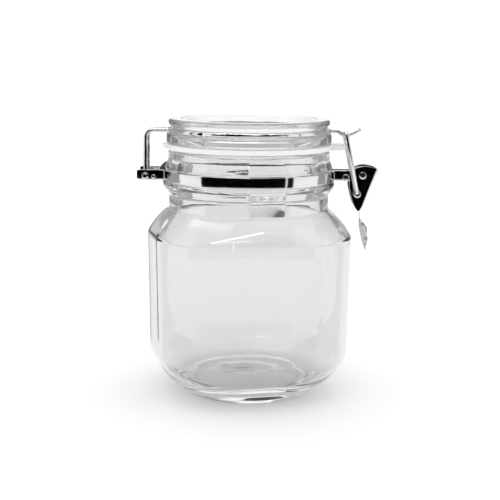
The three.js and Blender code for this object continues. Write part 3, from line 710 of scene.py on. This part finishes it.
def make_bail():
    ring = GROOVE_RADIUS + WIRE_GAP + WIRE_RADIUS
    leg = HINGE_TAB_SPAN - STRIP_THICKNESS / 2 - WIRE_GAP - WIRE_RADIUS
    bend, nose_span = 3.0, 2.3
    height = FLANGE_HIGH + WIRE_GAP + WIRE_RADIUS
    leg_turn = math.acos((leg + bend) / (ring + bend))
    nose_turn = math.acos((nose_span + bend) / (ring + bend))
    first, last = -math.pi / 2 - leg_turn, -math.pi / 2 + nose_turn
    steps = 18
    step = (last - first) / steps
    chord = ring / math.cos(step / 2)

    def meeting(angle, span):
        """Where the ring's tangent at an angle crosses the straight stretch at y = span."""
        x, y = ring * math.cos(angle), ring * math.sin(angle)
        return x + (span - y) * -math.sin(angle) / math.cos(angle)

    near = [
        [(HINGE_X, -HINGE_TAB_SPAN - STRIP_THICKNESS / 2 - WIRE_GAP, HINGE_Z), 0],
        [(HINGE_X, -leg, HINGE_Z), 1.3],
        [(HINGE_X + 0.3, -leg, height), 4.0],
        [(meeting(first, -leg), -leg, height), bend],
    ]
    for i in range(steps):
        angle = first + (i + 0.5) * step
        near.append([(chord * math.cos(angle), chord * math.sin(angle), height), ring])
    near += [
        [(meeting(last, -nose_span), -nose_span, height), bend],
        [(ring + 4.3, -nose_span, height), 2],
        [(NOSE_VALLEY_X, -nose_span, NOSE_VALLEY_Z), 2.5],
        [(NOSE_VALLEY_X + 7.3, -nose_span, NOSE_VALLEY_Z + 3.4), nose_span * 0.98],
    ]
    wire = tube(filleted(near + mirrored(near), 7), WIRE_RADIUS)
    base = HINGE_TAB_SPAN + STRIP_THICKNESS / 2 + 0.12
    heads = []
    for flip in (False, True):
        collar = filleted(
            [
                [(0, base), 0],
                [(1.9, base), 0.08],
                [(1.9, base + 0.45), 0.22],
                [(1.35, base + 0.62), 0.1],
                [(1.15, base + 0.42), 0.08],
                [(1.0, base + 0.8), 0.2],
                [(0, base + 0.82), 0],
            ],
            15,
        )
        heads.append(along_y(turned(collar, 32), HINGE_X, HINGE_Z, flip))
    return mesh_piece("lid_bail_wire", *joined(wire, *heads), 40)


def make_loop():
    span = (LOOP_HIGH.y - LOOP_LOW.y) / 2 - 0.9
    bar_x = NOSE_VALLEY_X - 0.15
    bar_z = LOOP_HIGH.z - WIRE_RADIUS
    near = [[(PIN_X, -span, PIN_Z), 0], [(bar_x, -span, bar_z), 2.6]]
    parts = [tube(filleted(near + mirrored(near), 7), WIRE_RADIUS)]
    eye_radius, pin_end = 2.0, 5.7
    for flip in (False, True):
        eye = filleted(
            [
                [(0, pin_end), 0],
                [(WIRE_RADIUS, pin_end), 0.15],
                [(WIRE_RADIUS, span - 0.75), 0.1],
                [(eye_radius, span - 0.75), 0.3],
                [(eye_radius, span + 0.75), 0.5],
                [(1.2, span + 0.88), 0.4],
                [(0.7, span + 0.6), 0.2],
                [(0, span + 0.6), 0],
            ],
            15,
        )
        parts.append(along_y(turned(eye, 32), PIN_X, PIN_Z, flip))
    return mesh_piece("pull_loop_wire", *joined(*parts), 40)


# ---------------------------------------------------------------- sheet parts


def strip_path():
    """Plan of one half band's centre line, at +Y, from the hinge tab's tip to the lever arm's end."""
    seat_gap = 0.3
    middle = SEAT_RADIUS + seat_gap + STRIP_THICKNESS / 2
    start = math.pi - math.asin(HINGE_TAB_SPAN / middle)
    end = math.asin(LEVER_ARM_SPAN / middle)
    steps = 96
    arc = [start + (end - start) * k / steps for k in range(steps + 1)]
    ring = [Vector((middle * math.cos(a), middle * math.sin(a))) for a in arc]
    hinge = filleted([[(BAND_LOW.x, HINGE_TAB_SPAN), 0], [ring[0], 0.8], [ring[2], 0]], 8)
    lever = filleted([[ring[-3], 0], [ring[-1], 0.8], [(BAND_HIGH.x, LEVER_ARM_SPAN), 0]], 8)
    return hinge[:-1] + ring[2:-2] + lever[1:]


def fine_ends(path, radius, steps=10):
    """The path with more points over its first and last stretch, so that the ends can be rounded."""
    made = list(path)
    for end, following in ((0, 1), (-1, -2)):
        direction = (made[following] - made[end]).normalized()
        extra = []
        for k in range(1, steps + 1):
            share = 1 - math.cos(math.pi / 2 * k / steps)
            extra.append(made[end] + direction * radius * share)
        if end == 0:
            made = [made[0], *extra, *made[1:]]
        else:
            made = [*made[:-1], *reversed(extra), made[-1]]
    return made


def make_band(name, side):
    """One half band with rounded ends and edges, on the side of +Y (1) or -Y (-1)."""
    left, right = 1.1, STRIP_WIDTH / 2 - 0.1
    path = fine_ends(strip_path(), max(left, right))
    half_thick, edge = STRIP_THICKNESS / 2, 0.18
    stations = []
    for i, here in enumerate(path):
        back = here - path[max(i - 1, 0)]
        ahead = path[min(i + 1, len(path) - 1)] - here
        along = (back.normalized() + ahead.normalized()).normalized()
        across = Vector((-along.y, along.x))
        half = STRIP_WIDTH / 2
        from_left = (here - path[0]).length
        from_right = (here - path[-1]).length
        for distance, radius in ((from_left, left), (from_right, right)):
            if distance < radius:
                half -= radius - math.sqrt(max(0.0, radius**2 - (radius - distance) ** 2))
        half = max(half, edge * 1.5)
        section = closed_fillets(
            [
                [(-half_thick, -half), edge],
                [(half_thick, -half), edge],
                [(half_thick, half), edge],
                [(-half_thick, half), edge],
            ],
            30,
        )
        ring = []
        for p in section:
            plan = here + across * p.x
            ring.append(Vector((plan.x, side * plan.y, STRIP_MIDDLE + p.y)))
        stations.append(ring)
    return mesh_piece(name, *loft(stations), 35)


def make_rivet(name, node, reach, radius, head_radius, head_height, x, z):
    """A shank with a domed head outside each face, reach being the faces' distance from the XZ plane."""
    shank = turned([(0, -reach), (radius, -reach), (radius, reach), (0, reach)], 24)
    parts = [along_y(shank, x, z)]
    for flip in (False, True):
        parts.append(along_y(domed_head(head_radius, reach + 0.05, head_height), x, z, flip))
    return place(mesh_piece(name, *joined(*parts), 40), node, RIVET, "jar", "rivet_steel")


def lever_outline():
    """One cheek of the lever, as (x, z) points."""

    def at(x, z):
        """A point given from the lever's pivot."""
        return Vector((PIVOT_X + x, PIVOT_Z + z))

    inward = Vector((-WEB_SLOPE.y, WEB_SLOPE.x))
    web_top = at(*WEB_TOP) + inward * 1.0
    web_low = at(*WEB_LOW) + inward * 0.7
    points = [web_top]
    points += curved(web_top, at(0.6, 6.3), at(-3.9, 3.7))
    points += filleted(
        [[at(-3.9, 3.7), 0], [at(-4.9, 2.2), 1.0], [at(-5.7, 0.9), 0]], 12
    )[1:]
    points += curved(at(-5.7, 0.9), at(-7.1, -2.6), at(-7.0, -6.2))
    points += curved(at(-7.0, -6.2), at(-5.7, -12.8), at(-4.1, -16.6))
    points += filleted([[at(-4.1, -16.6), 0], [at(-1.9, -19.7), 0.8], [web_low, 0]], 12)[1:]
    return points


def make_lever():
    """Two cheeks, the web that is bent round between them, and the tongue."""
    outer = LEVER_HALF
    inner = outer - SHEET
    outline = lever_outline()
    parts = [slab(outline, inner, outer), slab(outline, -outer, -inner)]
    normal = Vector((WEB_SLOPE.y, -WEB_SLOPE.x))
    base = Vector((PIVOT_X + WEB_LOW[0], PIVOT_Z + WEB_LOW[1]))
    reach, bend, inner_bend, edge = -1.35, 1.3, 0.5, 0.15
    outside = filleted(
        [[(reach, -outer), 0], [(0, -outer), bend], [(0, outer), bend], [(reach, outer), 0]], 12
    )
    inside = filleted(
        [
            [(reach, inner), 0],
            [(-SHEET, inner), inner_bend],
            [(-SHEET, -inner), inner_bend],
            [(reach, -inner), 0],
        ],
        30,
    )
    stations = []
    for along in (0.0, edge, WEB_LENGTH / 2, WEB_LENGTH - edge, WEB_LENGTH):
        trim = 0.1 if along in (0.0, WEB_LENGTH) else 0.0
        ring = []
        for p in outside + inside:
            spot = base + WEB_SLOPE * along + normal * (p.x - trim * 0.5)
            ring.append(Vector((spot.x, p.y * (1 - trim * 0.02), spot.y)))
        stations.append(ring)
    parts.append(loft(stations))
    parts.append(tongue())
    return mesh_piece("lever_pressed", *joined(*parts), 20)


def tongue():
    """The cupped thumb tongue, a leaf of sheet bent outward at its end."""
    knots = [(-0.7, -18.0), (-0.9, -23.0), (-0.3, -29.5), (1.2, -36.0), (3.1, -41.2)]
    widths = [
        (0.0, 5.6),
        (0.13, 4.6),
        (0.24, 3.5),
        (0.36, 4.8),
        (0.50, 5.9),
        (0.64, 5.8),
        (0.78, 4.6),
        (0.9, 2.9),
        (0.97, 1.4),
        (1.0, 0.35),
    ]
    cups = [(0.0, 0.0), (0.22, 0.0), (0.45, 3.2), (0.7, 3.0), (1.0, 0.0)]
    columns, rim_start, sheet_share, rim_share = 12, 0.97, 0.5, 0.28
    spine = smooth_path([Vector((PIVOT_X + x, PIVOT_Z + z)) for x, z in knots], 12)
    lengths = [0.0]
    for a, b in zip(spine, spine[1:]):
        lengths.append(lengths[-1] + (b - a).length)
    total = lengths[-1]
    stations = []
    for i, here in enumerate(spine):
        share = lengths[i] / total
        width, depth = eased(widths, share), eased(cups, share)
        heading = (spine[min(i + 1, len(spine) - 1)] - spine[max(i - 1, 0)]).normalized()
        out = Vector((-heading.y, heading.x))
        front, back = [], []
        for k in range(columns + 1):
            u = 2 * k / columns - 1
            y = u * width
            cup = depth * u * u
            thick = SHEET * (sheet_share if abs(u) < rim_start else rim_share)
            for sign, row in ((1, front), (-1, back)):
                spot = here + out * (cup + sign * thick)
                row.append(Vector((spot.x, y, spot.y)))
        stations.append(front + list(reversed(back)))
    return loft(stations)


def eased(table, share):
    """A value read from a table of (share, value) rows, eased from each row to the next."""
    for (a, low), (b, high) in zip(table, table[1:]):
        if share <= b:
            t = (share - a) / (b - a)
            t = t * t * (3 - 2 * t)
            return low + (high - low) * t
    return table[-1][1]


def smooth_path(knots, steps):
    """A Catmull-Rom path through the knots."""
    ends = [knots[0] * 2 - knots[1], *knots, knots[-1] * 2 - knots[-2]]
    points = []
    for a, b, c, d in zip(ends, ends[1:], ends[2:], ends[3:]):
        for k in range(steps):
            t = k / steps
            square, cube = a * 2 - b * 5 + c * 4 - d, b * 3 - a - c * 3 + d
            points.append(0.5 * (b * 2 + (c - a) * t + square * t * t + cube * t**3))
    points.append(knots[-1])
    return points


def rivet_place(node):
    """The middle of a rivet, as (x, z)."""
    low, high = node_box(node)
    return (low.x + high.x) / 2, (low.z + high.z) / 2


place(make_jar(), "jar_glass", GLASS, "jar", "clear_glass")
place(make_lid(), "lid_glass", GLASS, "lid", "clear_glass")
place(make_gasket(), "gasket", SILICONE, "lid", "silicone")
place(make_bail(), "lid_bail", WIRE, "lid", "wire_steel")
place(make_band("band_front_strip", -1), "band_front", STRIP, "jar", "band_steel")
place(make_band("band_rear_strip", 1), "band_rear", STRIP, "jar", "band_steel")
place(make_lever(), "lever", STRIP, "clamp_lever", "band_steel")
place(make_loop(), "pull_loop", WIRE, "clamp_loop", "wire_steel")
for rivet_name, rivet_node, rivet_reach, shank, head, height in (
    ("hinge_tie_rivet_fine", "hinge_tie_rivet", HINGE_TAB_SPAN + 0.4, 0.8, 1.1, 0.5),
    ("lever_tie_rivet_fine", "lever_tie_rivet", LEVER_ARM_SPAN + 0.4, 1.1, 1.9, 0.6),
    ("lever_pivot_rivet_fine", "lever_pivot_rivet", LEVER_HALF, 1.3, 1.9, 0.5),
):
    rivet_x, rivet_z = rivet_place(rivet_node)
    make_rivet(rivet_name, rivet_node, rivet_reach, shank, head, height, rivet_x, rivet_z)


# ---------------------------------------------------------------- stage, light and camera

# The floor's own light. It keeps the shadow on the floor pale.
FLOOR_GLOW = 0.23

# Curtains that the glass and steel reflect: distances and heights in metres, directions in degrees
# either side of -Y
DARK_RADIUS, DARK_HEIGHT = 0.42, 0.55
DARK_STRETCHES = ((-62, 47.2), (49.4, 58))
SLIT_RADIUS, SLIT_HALF, SLIT_LOW, SLIT_HIGH, SLIT_GLOW = 0.41, 0.7, 0.2, 0.5, 6.0
SIDE_RADIUS, SIDE_START, SIDE_END = 0.22, 95, 155
SIDE_FOOT, SIDE_SPLIT, SIDE_HEIGHT = 0.001, 0.075, 0.3
GREY_GLOW, PALE_GLOW = 0.4, 0.97
CARD_RADIUS = 0.075


def make_floor():
    """A seamless pale sweep: a level floor that curves up into a wall far behind the jar."""
    half_width, front, bend_start, bend_radius, top = 8.0, -6.0, 2.5, 1.5, 6.0
    path = [(front, 0.0), (bend_start, 0.0)]
    for k in range(1, 25):
        angle = math.pi / 2 * k / 24
        path.append((bend_start + bend_radius * math.sin(angle), bend_radius * (1 - math.cos(angle))))
    path.append((bend_start + bend_radius, top))
    points = [(x, y, z) for y, z in path for x in (-half_width, half_width)]
    faces = [(2 * k, 2 * k + 1, 2 * k + 3, 2 * k + 2) for k in range(len(path) - 1)]
    mesh = bpy.data.meshes.new("floor")
    mesh.from_pydata(points, [], faces)
    for face in mesh.polygons:
        face.use_smooth = True
    floor = bpy.data.objects.new("floor", mesh)
    floor.location.z = -0.0002
    bpy.context.scene.collection.objects.link(floor)
    made = bpy.data.materials.new("floor_white")
    made.use_nodes = True
    shader = made.node_tree.nodes["Principled BSDF"]
    shader.inputs["Base Color"].default_value = (0.9, 0.9, 0.9, 1)
    shader.inputs["Roughness"].default_value = 0.9
    shader.inputs["Specular IOR Level"].default_value = 0.1
    shader.inputs["Emission Color"].default_value = (1, 1, 1, 1)
    shader.inputs["Emission Strength"].default_value = FLOOR_GLOW
    mesh.materials.append(made)


def make_world():
    """An even white studio, a little dimmer overhead."""
    world = bpy.data.worlds.new("studio")
    bpy.context.scene.world = world
    world.use_nodes = True
    nodes, links = world.node_tree.nodes, world.node_tree.links
    nodes.clear()
    output = nodes.new("ShaderNodeOutputWorld")
    background = nodes.new("ShaderNodeBackground")
    place = nodes.new("ShaderNodeTexCoord")
    split = nodes.new("ShaderNodeSeparateXYZ")
    links.new(place.outputs["Generated"], split.inputs["Vector"])
    depth = ramp(nodes, links, split.outputs["Y"], -0.95, -0.2, 1.0, 1.02)
    ceiling = ramp(nodes, links, split.outputs["Z"], 0.3, 0.9, 1.02, 0.9)
    both = nodes.new("ShaderNodeMath")
    both.operation = "MULTIPLY"
    links.new(depth, both.inputs[0])
    links.new(ceiling, both.inputs[1])
    links.new(both.outputs["Value"], background.inputs["Strength"])
    background.inputs["Color"].default_value = (1, 1, 1, 1)
    links.new(background.outputs["Background"], output.inputs["Surface"])


def add_emitter_material(panel, strength):
    """Makes a panel glow evenly, or stay black at a strength of 0."""
    made = bpy.data.materials.new(panel.name)
    made.use_nodes = True
    nodes, links = made.node_tree.nodes, made.node_tree.links
    nodes.clear()
    output = nodes.new("ShaderNodeOutputMaterial")
    glow = nodes.new("ShaderNodeEmission")
    glow.inputs["Strength"].default_value = strength
    links.new(glow.outputs["Emission"], output.inputs["Surface"])
    panel.data.materials.append(made)


def add_curved_flat(name, radius, start, end, low, high, strength, foot=None):
    """A curtain that stands on part of a circle about the jar, from start to end degrees either side
    of -Y, positive towards +X. Its low edge is on the circle of radius foot, where one is given. The
    camera and diffuse light don't see it."""
    foot = foot or radius
    steps = max(2, math.ceil(abs(end - start) / 3))
    points, faces = [], []
    for k in range(steps + 1):
        angle = math.radians(start + (end - start) * k / steps - 90)
        x, y = math.cos(angle), math.sin(angle)
        points += [(foot * x, foot * y, low), (radius * x, radius * y, high)]
    for k in range(steps):
        faces.append((2 * k, 2 * k + 2, 2 * k + 3, 2 * k + 1))
    mesh = bpy.data.meshes.new(name)
    mesh.from_pydata(points, [], faces)
    curtain = bpy.data.objects.new(name, mesh)
    bpy.context.scene.collection.objects.link(curtain)
    add_emitter_material(curtain, strength)
    curtain.visible_camera = False
    curtain.visible_diffuse = False
    curtain.visible_shadow = False


def add_softbox(name, place, size, aim, watts):
    """A rectangular studio lamp that shows in the steel and the glass. Diffuse light leaves it out,
    so the floor stays even."""
    data = bpy.data.lights.new(name, "AREA")
    data.shape = "RECTANGLE"
    data.size, data.size_y = size
    data.energy = watts
    lamp = bpy.data.objects.new(name, data)
    lamp.location = place
    lamp.rotation_euler = (Vector(aim) - Vector(place)).to_track_quat("-Z", "Y").to_euler()
    lamp.visible_diffuse = False
    bpy.context.scene.collection.objects.link(lamp)


def make_camera():
    """The photograph's viewpoint, with its slight roll."""
    pitch_down, roll = 9.96, 0.6
    data = bpy.data.cameras.new("camera")
    data.lens = 80.14
    data.shift_x = 0.0039
    data.shift_y = -0.0108
    data.clip_start, data.clip_end = 0.01, 50
    camera = bpy.data.objects.new("camera", data)
    camera.location = (0, -0.5942, 0.1836)
    camera.rotation_mode = "ZXY"
    camera.rotation_euler = (math.radians(90 - pitch_down), 0, math.radians(roll))
    bpy.context.scene.collection.objects.link(camera)
    bpy.context.scene.camera = camera


MIDDLE = (CAD_LOW + CAD_HIGH) / 2
make_floor()
make_world()
for dark_start, dark_end in DARK_STRETCHES:
    add_curved_flat("dark_flat", DARK_RADIUS, dark_start, dark_end, 0.0, DARK_HEIGHT, 0.0)
add_curved_flat("slit_light", SLIT_RADIUS, -SLIT_HALF, SLIT_HALF, SLIT_LOW, SLIT_HIGH, SLIT_GLOW)
for side in (-1, 1):
    stretch = (side * SIDE_START, side * SIDE_END)
    add_curved_flat("grey_flat", SIDE_RADIUS, *stretch, SIDE_SPLIT, SIDE_HEIGHT, GREY_GLOW)
    add_curved_flat("pale_flat", SIDE_RADIUS, *stretch, SIDE_FOOT, SIDE_SPLIT, PALE_GLOW)
    add_curved_flat("pale_card", SIDE_RADIUS, *stretch, SIDE_FOOT, SIDE_FOOT, PALE_GLOW, CARD_RADIUS)
add_softbox("key_lamp", (-0.05, -0.5, 0.95), (0.8, 0.03), MIDDLE, 1.2)
add_softbox("top_lamp", (-0.2, 0.3, 1.2), (0.9, 0.9), MIDDLE, 3.0)
make_camera()
scene = bpy.context.scene
scene.view_settings.view_transform = "Standard"
scene.cycles.max_bounces = 24
scene.cycles.transmission_bounces = 24
scene.cycles.glossy_bounces = 12
scene.cycles.transparent_max_bounces = 24
